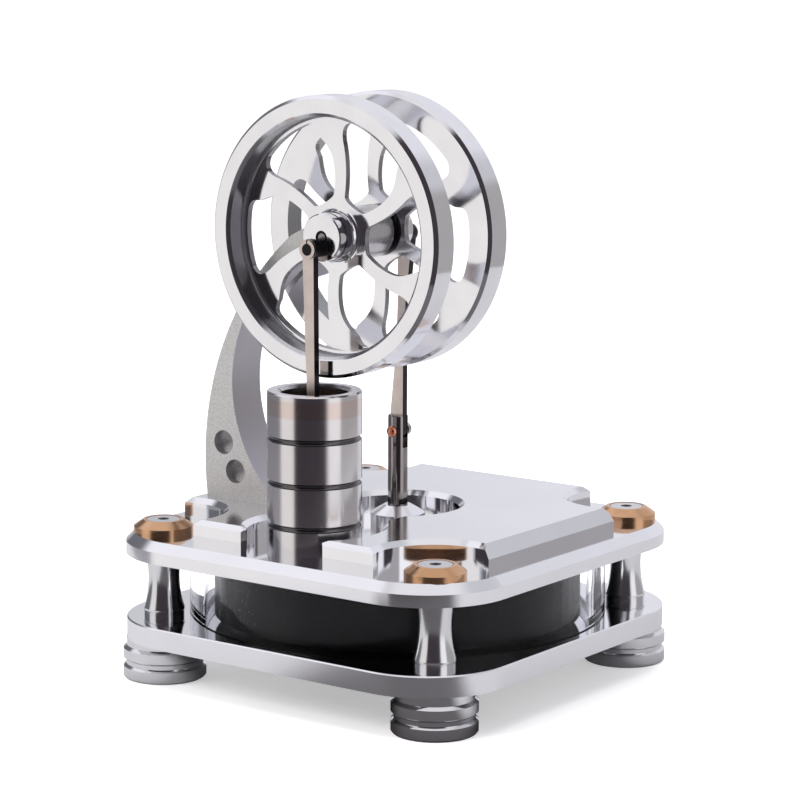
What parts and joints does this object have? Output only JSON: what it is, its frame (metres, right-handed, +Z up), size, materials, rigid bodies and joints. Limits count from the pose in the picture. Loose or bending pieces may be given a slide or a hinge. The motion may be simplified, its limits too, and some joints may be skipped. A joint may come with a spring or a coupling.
{
  "type": "stirling engine model",
  "caption": "Desk stirling engine model: flat chamber between square plates, power cylinder, displacer rod and twin flywheels on a curved arm.",
  "frame": {"origin": "centre of the square base, at the underside of the feet", "axes": "+Z up; the axle runs along Y, with the power cylinder on the -Y side; +X is the side of the deck block with the wide bevel"},
  "size_m": [0.105, 0.105, 0.1403],
  "materials": {
    "plate_aluminium": "polished",
    "foot_steel": "polished",
    "pillar_steel": "polished",
    "screw_steel": "satin",
    "ring_clear": "clear",
    "seal_black": "matte",
    "washer_gold": "anodised satin",
    "cylinder_steel": "polished",
    "bush_bronze": "satin",
    "arm_cast": "sandblasted",
    "wheel_aluminium": "polished",
    "rod_steel": "brushed",
    "piston_graphite": "satin",
    "displacer_black": "satin",
    "pin_copper": "polished"
  },
  "bodies": {
    "base": {"lower_plate": "plate_aluminium", "foot_fl": "foot_steel", "foot_fr": "foot_steel", "foot_bl": "foot_steel", "foot_br": "foot_steel", "foot_screws": "screw_steel", "pillar_fl": "pillar_steel", "pillar_fr": "pillar_steel", "pillar_bl": "pillar_steel", "pillar_br": "pillar_steel", "chamber_ring": "ring_clear", "seal_lower": "seal_black", "seal_upper": "seal_black", "upper_plate": "plate_aluminium", "cup_washer_fl": "washer_gold", "cup_washer_fr": "washer_gold", "cup_washer_bl": "washer_gold", "cup_washer_br": "washer_gold", "plate_screws": "screw_steel", "power_cylinder": "cylinder_steel", "cylinder_seal": "seal_black", "rod_gland": "plate_aluminium", "gland_bush": "bush_bronze", "bearing_arm": "arm_cast", "bearing_housing": "screw_steel", "arm_screws": "screw_steel", "bearing_outer_races": "screw_steel", "bearing_balls": "screw_steel"},
    "crank": {"axle": "screw_steel", "flywheel_front": "wheel_aluminium", "flywheel_rear": "wheel_aluminium", "crank_disc_front": "wheel_aluminium", "crank_disc_rear": "wheel_aluminium", "crank_pin_front": "seal_black", "crank_pin_rear": "screw_steel", "crank_spacer": "seal_black", "grub_screws": "seal_black", "bearing_inner_races": "screw_steel", "axle_collars": "seal_black", "axle_rings": "seal_black"},
    "power_rod": {"power_rod": "rod_steel", "gudgeon_pin": "screw_steel"},
    "power_piston": {"power_piston": "piston_graphite", "piston_bosses": "screw_steel"},
    "displacer": {"displacer_rod": "cylinder_steel", "displacer_disc": "displacer_black", "displacer_washer": "screw_steel", "displacer_nut": "screw_steel", "clevis_pin": "pin_copper", "clevis_collar": "screw_steel"},
    "displacer_link": {"displacer_link": "rod_steel", "link_pin": "screw_steel"}
  },
  "joints": [
    {"name": "crank_spin", "type": "hinge", "parent": "base", "child": "crank", "pos_m": [0, -0.0155, 0.1077], "axis": [0, 1, 0], "continuous": true},
    {"name": "power_rod_swing", "type": "hinge", "parent": "crank", "child": "power_rod", "pos_m": [-0.00116, -0.0325, 0.10521], "axis": [0, 1, 0], "continuous": true},
    {"name": "piston_slide", "type": "slide", "parent": "base", "child": "power_piston", "axis": [0, 0, 1], "range_m": [-0.00026, 0.00524]},
    {"name": "displacer_slide", "type": "slide", "parent": "base", "child": "displacer", "axis": [0, 0, 1], "range_m": [-0.00159, 0.00391]},
    {"name": "displacer_link_swing", "type": "hinge", "parent": "displacer", "child": "displacer_link", "pos_m": [0, 0, 0.0586], "axis": [0, 1, 0], "range_deg": [-6.26, 0.3]}
  ],
  "couplings": [
    {"joint": "power_rod_swing", "follows": "crank_spin", "ratio": -1}
  ]
}
